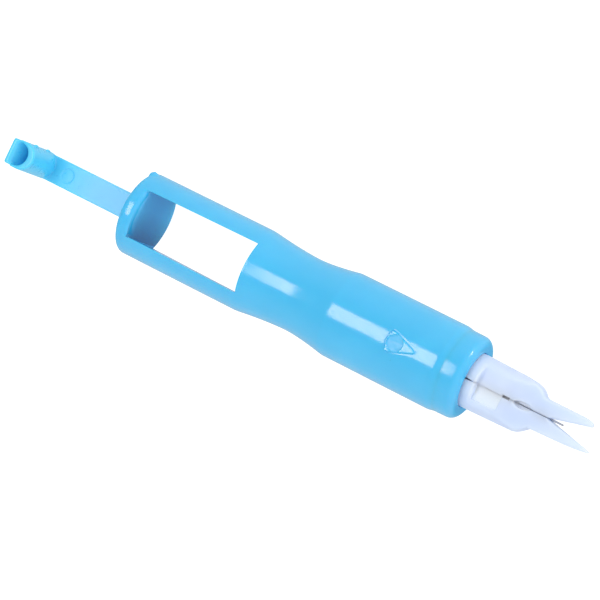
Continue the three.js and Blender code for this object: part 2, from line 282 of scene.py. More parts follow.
def lathe(profile, sides=LATHE_SIDES):
    """Turns a closed (x, radius) outline about the tool's axis and returns vertices and faces."""
    vertices, rings, faces = [], [], []
    for x, r in profile:
        first = len(vertices)
        if r < 1e-9:
            vertices.append((x, 0, 0))
            rings.append([first] * sides)
            continue
        for k in range(sides):
            angle = 2 * math.pi * k / sides
            vertices.append((x, r * math.sin(angle), r * math.cos(angle)))
        rings.append(list(range(first, first + sides)))
    for here, ahead in zip(rings, rings[1:] + rings[:1]):
        for k in range(sides):
            j = (k + 1) % sides
            corners = dict.fromkeys((here[k], here[j], ahead[j], ahead[k]))
            if len(corners) > 2:
                faces.append(tuple(corners))
    return vertices, faces


# ---------- Distance fields for the moulded pieces ----------


def blend_max(a, b, radius):
    """Keeps what lies in both fields, with the edge between them rounded."""
    overlap = np.maximum(radius - np.abs(a - b), 0) / radius
    return np.maximum(a, b) + overlap * overlap * radius / 4


def blend_min(a, b, radius):
    """Joins two fields, with a fillet between them."""
    return -blend_max(-a, -b, radius)


def between(t, low, high):
    return np.maximum(low - t, t - high)


def outline_distance(x, y, points):
    """Signed distance in the plan to a closed outline, negative inside."""
    nearest = np.full(np.broadcast(x, y).shape, np.inf)
    inside = np.zeros(nearest.shape, bool)
    for (ax, ay), (bx, by) in zip(points, points[1:] + points[:1]):
        ex, ey = bx - ax, by - ay
        t = np.clip(((x - ax) * ex + (y - ay) * ey) / max(ex * ex + ey * ey, 1e-12), 0, 1)
        nearest = np.minimum(nearest, (x - ax - t * ex) ** 2 + (y - ay - t * ey) ** 2)
        if ay != by:
            inside ^= ((ay > y) != (by > y)) & (x < ax + (y - ay) * ex / (by - ay))
    return np.where(inside, -1, 1) * np.sqrt(nearest)


def skin(field, low, high, step):
    """Vertices and quads where the field is zero: one vertex in each cell crossed, moved onto it."""
    ticks = [np.arange(a - step, b + 2 * step, step) for a, b in zip(low, high)]
    value = field(ticks[0][:, None, None], ticks[1][None, :, None], ticks[2][None, None, :])
    inside = value < 0
    cells = tuple(n - 1 for n in value.shape)
    total = np.zeros(cells + (3,))
    count = np.zeros(cells)
    crossings = []
    for axis in range(3):
        head = [slice(None)] * 3
        tail = [slice(None)] * 3
        head[axis], tail[axis] = slice(None, -1), slice(1, None)
        a, b = value[tuple(head)], value[tuple(tail)]
        crossed = inside[tuple(head)] != inside[tuple(tail)]
        where = np.argwhere(crossed)
        share = a[crossed] / (a[crossed] - b[crossed])
        points = where.astype(float)
        points[:, axis] += share
        others = [k for k in range(3) if k != axis]
        for shift in ((0, 0), (0, 1), (1, 0), (1, 1)):
            cell = where.copy()
            cell[:, others[0]] -= shift[0]
            cell[:, others[1]] -= shift[1]
            index = tuple(cell.T)
            np.add.at(total, index, points)
            np.add.at(count, index, 1)
        crossings.append((axis, others, where, inside[tuple(head)][crossed]))
    number = np.full(cells, -1)
    used = count > 0
    number[used] = np.arange(used.sum())
    vertices = np.array([t[0] for t in ticks]) + total[used] / count[used][:, None] * step
    vertices = pulled(field, vertices, step)
    quads = []
    for axis, others, where, outward in crossings:
        corners = []
        for shift in ((0, 0), (1, 0), (1, 1), (0, 1)):
            cell = where.copy()
            cell[:, others[0]] -= shift[0]
            cell[:, others[1]] -= shift[1]
            corners.append(number[tuple(cell.T)])
        quad = np.stack(corners, 1)
        flip = outward == (axis == 1)
        quad[flip] = quad[flip][:, ::-1]
        quads.append(quad)
    return vertices, np.concatenate(quads)


def pulled(field, points, step, rounds=4):
    """Moves points down the field's slope onto its zero, by at most one step."""
    start = points.copy()
    tiny = 0.004
    for _ in range(rounds):
        x, y, z = points.T
        slope = np.stack(
            [
                field(x + tiny, y, z) - field(x - tiny, y, z),
                field(x, y + tiny, z) - field(x, y - tiny, z),
                field(x, y, z + tiny) - field(x, y, z - tiny),
            ],
            1,
        ) / (2 * tiny)
        steepness = np.maximum((slope**2).sum(1), 0.25)
        move = field(x, y, z)[:, None] * slope / steepness[:, None]
        points = start + np.clip(points - move - start, -step, step)
    return points


# ---------- Materials ----------


PER_MM = 1 / MM  # texture scale of one feature per millimetre
BOX_FADE = 0.04  # width over which a marked box of surface fades out


class Shader:
    """A small helper for node materials."""

    def __init__(self, name):
        self.material = bpy.data.materials.new(name)
        self.material.use_nodes = True
        self.nodes = self.material.node_tree.nodes
        self.links = self.material.node_tree.links
        self.surface = self.nodes["Principled BSDF"]

    def add(self, kind, **settings):
        node = self.nodes.new(kind)
        for key, value in settings.items():
            setattr(node, key, value)
        return node

    def wire(self, output, target):
        self.links.new(output, target)

    def fixed(self, **values):
        for key, value in values.items():
            self.surface.inputs[key.replace("_", " ")].default_value = value

    def coordinates(self, scale=(1, 1, 1)):
        where = self.add("ShaderNodeTexCoord")
        mapping = self.add("ShaderNodeMapping")
        mapping.inputs["Scale"].default_value = scale
        self.wire(where.outputs["Object"], mapping.inputs["Vector"])
        return mapping.outputs["Vector"]

    def noise(self, scale, detail=3.0, stretch=(1, 1, 1), roughness=0.5):
        node = self.add("ShaderNodeTexNoise")
        node.inputs["Scale"].default_value = scale
        node.inputs["Detail"].default_value = detail
        node.inputs["Roughness"].default_value = roughness
        self.wire(self.coordinates(stretch), node.inputs["Vector"])
        return node.outputs["Fac"]

    def ramp(self, value, stops):
        node = self.add("ShaderNodeValToRGB")
        elements = node.color_ramp.elements
        while len(elements) < len(stops):
            elements.new(0.5)
        for element, (position, colour) in zip(elements, stops):
            element.position = position
            element.color = (*colour, 1)
        self.wire(value, node.inputs["Fac"])
        return node.outputs["Color"]

    def spread(self, value, low, high, start=0.0, end=1.0):
        node = self.add("ShaderNodeMapRange")
        node.inputs["From Min"].default_value = start
        node.inputs["From Max"].default_value = end
        node.inputs["To Min"].default_value = low
        node.inputs["To Max"].default_value = high
        self.wire(value, node.inputs["Value"])
        return node.outputs["Result"]

    def mix(self, share, first, second):
        node = self.add("ShaderNodeMix", data_type="RGBA")
        for value, socket in ((share, 0), (first, 6), (second, 7)):
            target = node.inputs[socket]
            if isinstance(value, bpy.types.NodeSocket):
                self.wire(value, target)
            elif isinstance(value, tuple):
                target.default_value = (*value, 1)
            else:
                target.default_value = value
        return node.outputs[2]

    def product(self, first, second):
        node = self.add("ShaderNodeMath", operation="MULTIPLY")
        self.wire(first, node.inputs[0])
        self.wire(second, node.inputs[1])
        return node.outputs[0]

    def parts(self):
        """X, Y and Z of the place on the surface."""
        node = self.add("ShaderNodeSeparateXYZ")
        self.wire(self.add("ShaderNodeTexCoord").outputs["Object"], node.inputs[0])
        return node.outputs

    def paint(self, share, colour):
        """Mixes a colour over the base colour."""
        base = self.surface.inputs["Base Color"]
        self.wire(self.mix(share, base.links[0].from_socket, colour), base)

    def inside(self, low, high, wider):
        """1 between two corners of the frame, made wider by millimetres per axis, and 0 outside."""
        parts = self.parts()
        share = None
        for axis in range(3):
            away = self.add("ShaderNodeMath", operation="SUBTRACT")
            away.inputs[1].default_value = (low[axis] + high[axis]) / 2
            self.wire(parts[axis], away.inputs[0])
            distance = self.add("ShaderNodeMath", operation="ABSOLUTE")
            self.wire(away.outputs[0], distance.inputs[0])
            reach = (high[axis] - low[axis]) / 2 + wider[axis] * MM
            near = self.spread(distance.outputs[0], 1, 0, reach, reach + BOX_FADE * MM)
            share = near if share is None else self.product(share, near)
        return share

    def bump(self, heights):
        """Stacks (height, distance in millimetres) bumps onto the surface's normal."""
        before = None
        for height, distance in heights:
            node = self.add("ShaderNodeBump")
            node.inputs["Distance"].default_value = distance * MM
            self.wire(height, node.inputs["Height"])
            if before is not None:
                self.wire(before.outputs["Normal"], node.inputs["Normal"])
            before = node
        self.wire(before.outputs["Normal"], self.surface.inputs["Normal"])


def moulded_plastic(name, tint, shade, gloss, depth_mm, subsurface, colour_of_depth, gleam=(1, 1, 1)):
    """Smooth injection-moulded plastic: faint cloudy tint, soft orange peel, polish lines, light specks."""
    shader = Shader(name)
    cloud = shader.noise(0.12 * PER_MM, detail=4)
    colour = shader.ramp(cloud, [(0.35, shade), (0.65, tint)])
    fleck = shader.noise(1.6 * PER_MM, detail=1)
    colour = shader.mix(shader.spread(fleck, 0, 0.5, 0.78, 0.86), colour, tuple(0.55 * c for c in shade))
    shader.wire(colour, shader.surface.inputs["Base Color"])
    smear = shader.noise(0.5 * PER_MM, detail=5, roughness=0.6)
    sheen = shader.spread(smear, gloss[0], gloss[1], 0.3, 0.7)
    shader.wire(sheen, shader.surface.inputs["Roughness"])
    peel = shader.noise(0.7 * PER_MM, detail=2)
    lines = shader.noise(0.35 * PER_MM, detail=3, stretch=(22, 1, 1), roughness=0.7)
    grain = shader.noise(9 * PER_MM, detail=2)
    shader.bump([(peel, 0.012), (lines, 0.008), (grain, 0.0015)])
    shader.fixed(IOR=1.58, Subsurface_Weight=subsurface, Subsurface_Scale=depth_mm * MM)
    shader.fixed(Subsurface_Radius=colour_of_depth, Specular_Tint=(*gleam, 1))
    return shader


def handle_blue():
    shader = moulded_plastic(
        "handle_blue",
        tint=(0.058, 0.535, 0.89),
        shade=(0.05, 0.51, 0.86),
        gloss=(0.12, 0.19),
        depth_mm=1.2,
        subsurface=0.25,
        colour_of_depth=(0.25, 0.7, 1.0),
        gleam=(1, 0.72, 0.6),
    )
    shader.fixed(Specular_IOR_Level=0.58)
    etched_dimple(shader)
    # painted shade on the window's end wall
    painted_wall_shade(shader)
    return shader.material


def painted_wall_shade(shader):
    """Darker colour on the window's end wall, growing towards its right corner: painted shade."""
    low = place(REAR_WALL - 0.3, -WINDOW_HALF_REAR, -REAR_R)
    high = place(REAR_WALL, WINDOW_HALF_REAR, REAR_R)
    share = shader.inside(low, high, (0.1, 0.1, 0))
    corner, far = place(0, -WINDOW_HALF_REAR, 0).y, place(0, 1.0, 0).y
    across = shader.spread(shader.parts()["Y"], 1, 0, corner, far)
    shader.paint(shader.product(share, across), (0.004, 0.25, 0.5))


def etched_dimple(shader):
    """Duller surface in the mark's dimple."""
    where = shader.add("ShaderNodeTexCoord")
    away = shader.add("ShaderNodeVectorMath", operation="DISTANCE")
    shader.wire(where.outputs["Object"], away.inputs[0])
    away.inputs[1].default_value = place(DIMPLE_X, 0, MARK_TOP - DIMPLE_DEPTH)
    reach = (DIMPLE_R - 0.1) * MM
    plain = shader.surface.inputs["Roughness"].links[0].from_socket
    inside = shader.spread(away.outputs["Value"], 1, 0, reach, reach + 0.1 * MM)
    dull = shader.add("ShaderNodeMix", data_type="FLOAT")
    shader.wire(inside, dull.inputs[0])
    shader.wire(plain, dull.inputs[2])
    streaks = shader.noise(2.2 * PER_MM, detail=2, stretch=(0.3, 1, 1))
    shader.wire(shader.spread(streaks, 0.3, 0.6, 0.3, 0.7), dull.inputs[3])
    shader.wire(dull.outputs[0], shader.surface.inputs["Roughness"])


def arm_blue():
    """The same blue, with light through the thin strip painted in: paler along the strip, fuller by the
    post.
    """
    shader = moulded_plastic(
        "arm_blue",
        tint=(0.085, 0.62, 0.92),
        shade=(0.075, 0.59, 0.9),
        gloss=(0.26, 0.34),
        depth_mm=1.5,
        subsurface=0.35,
        colour_of_depth=(0.3, 0.85, 1.0),
    )
    post_x = place(POST_FRONT, 0, 0).x
    # painted light: paler where light passes through the thin strip
    thin = shader.spread(shader.parts()["X"], 0, 0.85, post_x + 1.5 * MM, post_x + 9 * MM)
    shader.paint(thin, (0.2, 0.61, 0.92))
    return shader.material


def milky():
    shader = moulded_plastic(
        "milky",
        tint=(0.65, 0.735, 0.95),
        shade=(0.61, 0.705, 0.93),
        gloss=(0.42, 0.55),
        depth_mm=2.5,
        subsurface=0.85,
        colour_of_depth=(0.9, 0.95, 1.0),
    )
    shader.fixed(Specular_IOR_Level=0.35)
    paler_panel_floor(shader)
    # painted shade in the oval hollow and the notch
    painted_hollow_shade(shader)
    return shader.material


def paler_panel_floor(shader):
    """Paler, finely speckled floor of the panel in the right half's flat."""
    # paints the panel floor paler, with fine speckles
    low = place(FLAT_START, -PANEL_FAR, PANEL_FLOOR)
    high = place(FLAT_END, 0, PANEL_FLOOR)
    share = shader.inside(low, high, (0.3, 0.04, 0.04))
    speckle = shader.noise(6 * PER_MM, detail=2)
    shader.paint(share, shader.ramp(speckle, [(0.3, (0.76, 0.83, 0.98)), (0.7, (0.79, 0.855, 0.99))]))


def painted_hollow_shade(shader):
    """Painted shade in the oval hollow and the notch: a greyer colour that sets them off from the plain
    slope.
    """
    where = shader.add("ShaderNodeVectorMath", operation="SUBTRACT")
    shader.wire(shader.add("ShaderNodeTexCoord").outputs["Object"], where.inputs[0])
    where.inputs[1].default_value = place(OVAL_X, 0, 0)
    shape = shader.add("ShaderNodeVectorMath", operation="MULTIPLY")
    shader.wire(where.outputs[0], shape.inputs[0])
    shape.inputs[1].default_value = (PER_MM / OVAL_HALF_X, PER_MM / OVAL_HALF_Y, 0)
    length = shader.add("ShaderNodeVectorMath", operation="LENGTH")
    shader.wire(shape.outputs[0], length.inputs[0])
    oval = shader.spread(length.outputs["Value"], 1, 0, 1.0, 1.15)
    low = place(NOTCH_START, -NOTCH_HALF, -FLAT_Z)
    high = place(NOTCH_END, NOTCH_HALF, FLAT_Z)
    notch = shader.inside(low, high, (0.03, 0.03, 0))
    # painted shade: greyer in the oval hollow, a darker grey in the notch
    shader.paint(oval, (0.73, 0.78, 0.88))
    shader.paint(notch, (0.47, 0.5, 0.57))


def inner_white():
    shader = moulded_plastic(
        "inner_white",
        tint=(0.82, 0.83, 0.84),
        shade=(0.77, 0.78, 0.79),
        gloss=(0.38, 0.5),
        depth_mm=0.8,
        subsurface=0.2,
        colour_of_depth=(1.0, 0.95, 0.9),
    )
    return shader.material


def steel():
    """Drawn wire: lengthwise draw marks, a few dull spots."""
    shader = Shader("steel")
    draw = shader.noise(3 * PER_MM, detail=2, stretch=(0.02, 1, 1))
    spots = shader.noise(0.5 * PER_MM, detail=3)
    colour = shader.mix(shader.spread(spots, 0, 0.5, 0.5, 0.75), (0.5, 0.5, 0.52), (0.44, 0.43, 0.44))
    shader.wire(colour, shader.surface.inputs["Base Color"])
    shader.wire(shader.spread(draw, 0.5, 0.6), shader.surface.inputs["Roughness"])
    shader.fixed(Metallic=1.0)
    return shader.material


BLUE = handle_blue()
ARM_BLUE = arm_blue()
MILKY = milky()
WHITE = inner_white()
STEEL = steel()


# ---------- Barrel ----------


def raw_radius(x):
    rear = x < WAIST_X
    reach = WAIST_X - WAIST_START if rear else WAIST_END - WAIST_X
    full = REAR_R if rear else FRONT_R
    share = min(abs(x - WAIST_X) / reach, 1)
    return WAIST_R + (full - WAIST_R) * share**WAIST_POWER


def barrel_radius(x):
    """Outer radius: fillet at the rear, straight, waist with blended ends, straight, step to the ring."""
    if x < REAR_FILLET:
        return REAR_R - REAR_FILLET + math.sqrt(max(REAR_FILLET**2 - (REAR_FILLET - x) ** 2, 0))
    if x > STEP_START:
        share = min((x - STEP_START) / (SEAM_X - STEP_START), 1)
        return FRONT_R + (RING_R - FRONT_R) * share * share * (3 - 2 * share)
    samples = 9
    offsets = [WAIST_BLEND * (k / (samples - 1) - 0.5) for k in range(samples)]
    return sum(raw_radius(x + offset) for offset in offsets) / samples


def bore_radius(x):
    if x < CHAMBER_START:
        return REAR_BORE_R
    return CHAMBER_R if x < SPIGOT_START else SPIGOT_R


def window_halves(x):
    """Half widths of the window above and below."""
    share = min(max((x - REAR_WALL) / (WINDOW_END - REAR_WALL), 0), 1)
    above = WINDOW_HALF_REAR + (WINDOW_HALF_FRONT - WINDOW_HALF_REAR) * share
    below = UNDER_HALF_REAR + (UNDER_HALF_FRONT - UNDER_HALF_REAR) * share
    return above, below


def stretch(start, end, step):
    """Evenly spaced stations from start up to, but not including, end."""
    count = max(1, round((end - start) / step))
    return [start + (end - start) * k / count for k in range(count)]


MARK_OUTLINE = rounded(
    [
        (MARK_BASE_X + 0.1, -MARK_HALF - 0.05, 0.35),
        (MARK_BASE_X + 0.75, -MARK_HALF, 0.3),
        (MARK_APEX_X + 0.15, -0.22, 0.45),
        (MARK_APEX_X + 0.15, 0.22, 0.45),
        (MARK_BASE_X + 0.75, MARK_HALF, 0.3),
        (MARK_BASE_X + 0.1, MARK_HALF + 0.05, 0.35),
        (MARK_BASE_X - 0.25, 0, 3.0),
    ]
)


def smooth_share(value, low, high):
    t = np.clip((value - low) / (high - low), 0, 1)
    return t * t * (3 - 2 * t)


def mark_height(x, y, z):
    """Height of the surface near the mark, where the plain barrel is z high."""
    points = [tuple(p) for p in MARK_OUTLINE]
    distance = outline_distance(x, y, points)
    plateau = MARK_TOP - 0.02 * smooth_share(distance, -0.35, -0.1)
    from_dimple = np.hypot(x - DIMPLE_X, y)
    plateau = plateau - DIMPLE_DEPTH * (1 - smooth_share(from_dimple, DIMPLE_R - 0.1, DIMPLE_R + 0.04))
    raised = 1 - smooth_share(distance, -MARK_WALL / 2, MARK_WALL / 2)
    groove = GROOVE_DEPTH * (smooth_share(distance, 0.0, 0.14) - smooth_share(distance, 0.16, 0.36))
    return z + (plateau - z) * raised - groove


# Columns of the barrel's grid: shares of the way across the top window, a rail, the bottom window
# and the other rail. The top is finest in the middle, where the mark stands.
MARK_REACH = 2.5
TOP_COLUMNS = 9
MARK_COLUMNS = 56
RAIL_COLUMNS = 72
BOTTOM_COLUMNS = 30


def barrel_columns():
    across = math.asin(MARK_REACH / FRONT_R) / math.asin(WINDOW_HALF_REAR / REAR_R)
    side = [(1 - across) * k / TOP_COLUMNS for k in range(TOP_COLUMNS)]
    top = [-1 + share for share in side]
    top += [-across + 2 * across * k / MARK_COLUMNS for k in range(MARK_COLUMNS)]
    top += [across + share for share in side]
    rail = [k / RAIL_COLUMNS for k in range(RAIL_COLUMNS)]
    return top, rail, [-1 + 2 * k / BOTTOM_COLUMNS for k in range(BOTTOM_COLUMNS)]


def around(radius, halves, columns):
    """Points (y, z) round the barrel, with the window's edges on fixed columns."""
    top, rail, bottom = columns
    above, below = (math.asin(half / radius) for half in halves)
    span = math.pi - above - below
    angles = [above * share for share in top]
    angles += [above + span * share for share in rail]
    angles += [math.pi + below * share for share in bottom]
    angles += [math.pi + below + span * share for share in rail]
    return [(radius * math.sin(a), radius * math.cos(a)) for a in angles]


def barrel_rows():
    fillet = [REAR_FILLET * (1 - math.cos(math.pi / 2 * k / 8)) for k in range(8)]
    outer = fillet + stretch(REAR_FILLET, REAR_WALL - WALL_EDGE, 0.35)
    outer += [REAR_WALL - WALL_EDGE * math.cos(math.pi / 2 * k / 9) for k in range(9)]
    outer += stretch(REAR_WALL, WINDOW_END, 0.75)
    outer += stretch(WINDOW_END, WAIST_END + 1, 0.3)
    outer += stretch(WAIST_END + 1, MARK_BASE_X - 0.8, 0.8)
    outer += stretch(MARK_BASE_X - 0.8, MARK_APEX_X + 0.7, 0.085)
    outer += stretch(MARK_APEX_X + 0.7, STEP_START, 0.7)
    outer += stretch(STEP_START, SEAM_X, 0.13) + [SEAM_X]
    inner = stretch(REAR_WALL, WINDOW_END, 0.75) + [WINDOW_END, CHAMBER_START - 0.001]
    inner += [CHAMBER_START, SPIGOT_START - 0.001, SPIGOT_START, SEAM_X]
    return outer, inner


def add_ring(bm, x, radius, columns):
    return [bm.verts.new((x, y, z)) for y, z in around(radius, window_halves(x), columns)]


def barrel():
    columns = barrel_columns()
    top, rail, bottom = (len(part) for part in columns)
    total = top + 2 * rail + bottom
    open_columns = set(range(top)) | set(range(top + rail, top + rail + bottom))
    outer_rows, inner_rows = barrel_rows()
    bm = bmesh.new()
    outer = [add_ring(bm, x, barrel_radius(x), columns) for x in outer_rows]
    round_rims(outer, outer_rows, top)
    push_gate(outer[:GATE_ROWS])
    inner = [add_ring(bm, x, bore_radius(x), columns) for x in inner_rows]

    def wall(row_a, row_b, keep):
        for k in range(total):
            if keep(k):
                j = (k + 1) % total
                bm.faces.new((row_a[k], row_a[j], row_b[j], row_b[k]))

    def in_window(x0, x1):
        return x0 > REAR_WALL - 1e-6 and x1 < WINDOW_END + 1e-6

    for i in range(len(outer) - 1):
        cut = in_window(outer_rows[i], outer_rows[i + 1])
        wall(outer[i], outer[i + 1], lambda k: not (cut and k in open_columns))
    for i in range(len(inner) - 1):
        cut = in_window(inner_rows[i], inner_rows[i + 1])
        wall(inner[i + 1], inner[i], lambda k: not (cut and k in open_columns))
    wall(outer[-1], inner[-1], lambda k: True)
    bm.faces.new(reversed(outer[0]))
    bm.faces.new(inner[0])
    first = outer_rows.index(REAR_WALL)
    last = outer_rows.index(WINDOW_END)
    inner_last = inner_rows.index(WINDOW_END)
    wall(outer[first], inner[0], lambda k: k in open_columns)
    wall(inner[inner_last], outer[last], lambda k: k in open_columns)
    for column in (0, top, top + rail, top + rail + bottom):
        for i in range(last - first):
            corners = [outer[first + i], outer[first + i + 1], inner[i + 1], inner[i]]
            bm.faces.new([ring[column] for ring in corners])
    bmesh.ops.recalc_face_normals(bm, faces=bm.faces)
    round_window(bm)
    raise_mark(bm)
    mesh = bpy.data.meshes.new("barrel_moulding")
    bm.to_mesh(mesh)
    bm.free()
    return finish_piece("barrel_moulding", mesh, "handle", ["barrel"], BLUE)


def round_rims(rings, rows, top):
    """Crowns the rear rim and rolls it over into the end wall."""
    start = REAR_WALL - WALL_EDGE
    for x, ring in zip(rows, rings):
        drop = 0
        if REAR_FILLET < x < REAR_WALL + 1e-6:
            drop = RIM_CROWN * (x - REAR_FILLET) ** 2
        if start < x < REAR_WALL + 1e-6:
            drop += WALL_EDGE - math.sqrt(max(WALL_EDGE**2 - (x - start) ** 2, 0))
        for vertex in ring[: top + 1]:
            inset = (WINDOW_HALF_REAR - abs(vertex.co.y)) / 0.4
            vertex.co.z -= drop * smooth_share(inset, 0, 1)


def push_gate(rings):
    """Torn stub of the moulding gate on the left of the rear rim."""
    turn = math.radians(GATE_TURN)
    centre = Vector((GATE_X, (REAR_R - 0.1) * math.sin(turn), (REAR_R - 0.1) * math.cos(turn)))
    out = Vector((-0.3, math.sin(turn), math.cos(turn))).normalized()
    for ring in rings:
        for vertex in ring:
            away = vertex.co - centre
            share = smooth_share(1 - away.length / GATE_REACH, 0, 0.7)
            ragged = 0.85 + 0.15 * math.sin(4 * away.z + 3 * away.x)
            vertex.co += out * (GATE_HEIGHT * share * ragged)


def round_window(bm):
    """Rounds the window's rims, outside and inside."""
    rims = []
    for edge in bm.edges:
        if len(edge.link_faces) != 2 or not edge.is_convex:
            continue
        a, b = (v.co for v in edge.verts)
        in_reach = min(a.x, b.x) > REAR_WALL - 0.01 and max(a.x, b.x) < WINDOW_END + 0.01
        if in_reach and edge.calc_face_angle() > math.radians(25):
            rims.append(edge)
    bmesh.ops.bevel(bm, geom=rims, offset=WINDOW_EDGE, segments=3, profile=0.5, affect="EDGES")


def raise_mark(bm):
    """Shapes the triangle mark in the grid on top of the barrel."""
    near = [
        v
        for v in bm.verts
        if v.co.z > FRONT_R - 1 and MARK_BASE_X - 0.75 < v.co.x < MARK_APEX_X + 0.65
        and abs(v.co.y) < MARK_REACH
    ]
    x, y, z = np.array([v.co for v in near]).T
    for vertex, height in zip(near, mark_height(x, y, z)):
        vertex.co.z = height


# ---------- Turned pieces ----------


def nose_ring():
    profile = rounded(
        [
            (SPIGOT_START, NOSE_HOLE_R, 0.2),
            (SPIGOT_START, SPIGOT_R - 0.01, 0.2),
            (SEAM_X + 0.002, SPIGOT_R - 0.01, 0),
            (SEAM_X + 0.002, RING_R, 0),
            (FACE_X, RING_FRONT_R, RING_FILLET),
            (FACE_X, NOSE_HOLE_R, 0.3),
        ],
        steps=12,
    )
    vertices, faces = lathe(profile)
    return new_piece("nose_ring_moulding", vertices, faces, "handle", ["nose_ring"], BLUE)


def turned_piece(name, profile, body, nodes, material, sides=LATHE_SIDES):
    vertices, faces = lathe(profile, sides)
    return new_piece(name, vertices, faces, body, nodes, material)


def tube_profile(start, end, outer, inner, edge):
    corners = [(start, inner, edge), (start, outer, edge), (end, outer, edge), (end, inner, edge)]
    return rounded(corners, steps=4)


def inner_pieces():
    plug = rounded(
        [
            (CHAMBER_START, PLUG_BORE_R, 0.2),
            (CHAMBER_START, PLUG_R, 0.35),
            (PLUG_SHOULDER, PLUG_R, 0.35),
            (PLUG_SHOULDER, PLUG_PILOT_R, 0.15),
            (PLUG_END, PLUG_PILOT_R, 0.5),
            (PLUG_END, PLUG_BORE_R, 0.15),
        ]
    )
    turned_piece("wire_plug_moulding", plug, "handle", ["wire_plug"], WHITE)
    sleeve = tube_profile(SLEEVE_START, SLEEVE_END, SLEEVE_R, SLEEVE_BORE_R, 0.06)
    turned_piece("sleeve_tube", sleeve, "handle", ["wire_sleeve"], STEEL, FINE_SIDES)
    collar = tube_profile(COLLAR_START, COLLAR_END, COLLAR_R, COLLAR_BORE_R, 0.3)
    turned_piece("stop_collar_ring", collar, "fork_head", ["stop_collar"], WHITE)


def threading_wire():
    """Round wire with a shallow notch assumed across its tip, to catch the thread."""
    edge = 0.05
    profile = [(WIRE_START, 0), (WIRE_START, WIRE_R - edge), (WIRE_START + edge, WIRE_R)]
    profile += [(WIRE_TIP - 0.3, WIRE_R), (WIRE_TIP - 2 * edge, WIRE_R), (WIRE_TIP - edge, 0.97 * WIRE_R)]
    profile += [(WIRE_TIP, WIRE_R * share) for share in (0.82, 0.66, 0.5, 0.33, 0.16, 0)]
    vertices, faces = lathe(profile, FINE_SIDES)
    ridge = WIRE_R / 3
    notched = []
    for x, y, z in vertices:
        if x > WIRE_TIP - 0.01:
            x -= WIRE_R * (1 - smooth_share(abs(z), 0.6 * ridge, 1.4 * ridge))
        notched.append((x, y, z))
    new_piece("threading_wire", notched, faces, "handle", ["hook_wire"], STEEL)


def coil_spring():
    """Compression spring with its last turn closed at each end."""
    start = PLUG_SHOULDER + SPRING_WIRE_R + 0.05
    end = COLLAR_START - SPRING_WIRE_R - 0.05
    closed = 2 * SPRING_WIRE_R + 0.03
    steps, sides = 48, 14
    pitch = (end - start - 2 * closed) / (SPRING_TURNS - 2)
    vertices, faces = [], []
    for i in range(SPRING_TURNS * steps + 1):
        turn = i / steps
        middle = min(max(turn - 1, 0), SPRING_TURNS - 2)
        x = start + closed * (turn - middle) + pitch * middle
        angle = 2 * math.pi * turn
        for k in range(sides):
            around_wire = 2 * math.pi * k / sides
            radius = SPRING_R + SPRING_WIRE_R * math.cos(around_wire)
            along = x + SPRING_WIRE_R * math.sin(around_wire)
            vertices.append((along, radius * math.cos(angle), radius * math.sin(angle)))
    rings = SPRING_TURNS * steps
    for i in range(rings):
        for k in range(sides):
            a, b = i * sides + k, i * sides + (k + 1) % sides
            faces.append((a, b, b + sides, a + sides))
    faces.append(tuple(range(sides))[::-1])
    faces.append(tuple(range(rings * sides, (rings + 1) * sides)))
    spring = new_piece("coil_spring", vertices, faces, "handle", ["return_spring"], STEEL)
    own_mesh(spring)


# ---------- Arm ----------


def arm_field(x, y, z):
    bottom = ARM_TOP - ARM_THICKNESS
    strip = blend_max(between(x, ARM_END, TANG_END), np.abs(y) - ARM_HALF, 0.3)
    strip = blend_max(strip, between(z, bottom, ARM_TOP), 0.3)
    centre = POST_FRONT - POST_HALF
    ring_half = POST_HALF + 0.06
    ring = blend_max(np.hypot(np.maximum(x - centre, 0), y) - ring_half, RING_START - x, 0.2)
    plate = blend_max(between(x, ARM_END, centre), np.abs(y) - ARM_HALF, 0.4)
    post = blend_max(blend_min(ring, plate, 0.15), between(z, bottom, POST_TOP), 0.4)
    for flash_z in FLASH_AT:
        rise = (z - flash_z) / FLASH_STRETCH
        blob = np.sqrt((x - FLASH_X) ** 2 + (y - POST_HALF) ** 2 + rise**2) - FLASH_R
        post = blend_min(post, blob, 0.12)
    solid = blend_min(strip, post, 0.05)
    floor_z = POST_TOP - SOCKET_DEPTH
    round_end = SOCKET_FRONT - SOCKET_HALF
    socket = np.hypot(np.maximum(x - round_end, 0), y) - SOCKET_HALF
    rear = SOCKET_START - SOCKET_LEAN * np.clip((z - floor_z) / SOCKET_DEPTH, 0, 1.1) ** 2
    socket = blend_max(socket, rear - x, 0.8)
    socket = blend_max(socket, floor_z - z, 0.5)
    solid = blend_max(solid, -socket, 0.4)
    middle = (SOCKET_START + SOCKET_FRONT) / 2
    pilot = np.maximum(np.hypot(x - middle, y) - PILOT_R, POST_TOP - PILOT_DEPTH - z)
    solid = blend_max(solid, -pilot, 0.2)
    ejector = np.maximum(np.hypot(x - EJECTOR_X, y) - EJECTOR_R, ARM_TOP - EJECTOR_DEPTH - z)
    return blend_max(solid, -ejector, 0.06)


def inserter_arm():
    bottom = ARM_TOP - ARM_THICKNESS
    low = (ARM_END - 0.3, -POST_HALF - 0.2, bottom - 0.2)
    high = (TANG_END + 0.2, POST_HALF + 0.2, POST_TOP + 0.2)
    vertices, quads = skin(arm_field, low, high, ARM_STEP)
    new_piece("arm_moulding", vertices, quads, "handle", ["inserter_arm"], ARM_BLUE, SKIN_CREASE)


# ---------- Fork ----------


def bend(start, pull, end, steps=6):
    """Points of a quadratic curve, without its last one."""
    start, pull, end = Vector(start), Vector(pull), Vector(end)
    shares = [k / steps for k in range(steps)]
    return [start * (1 - t) ** 2 + pull * 2 * t * (1 - t) + end * t * t for t in shares]


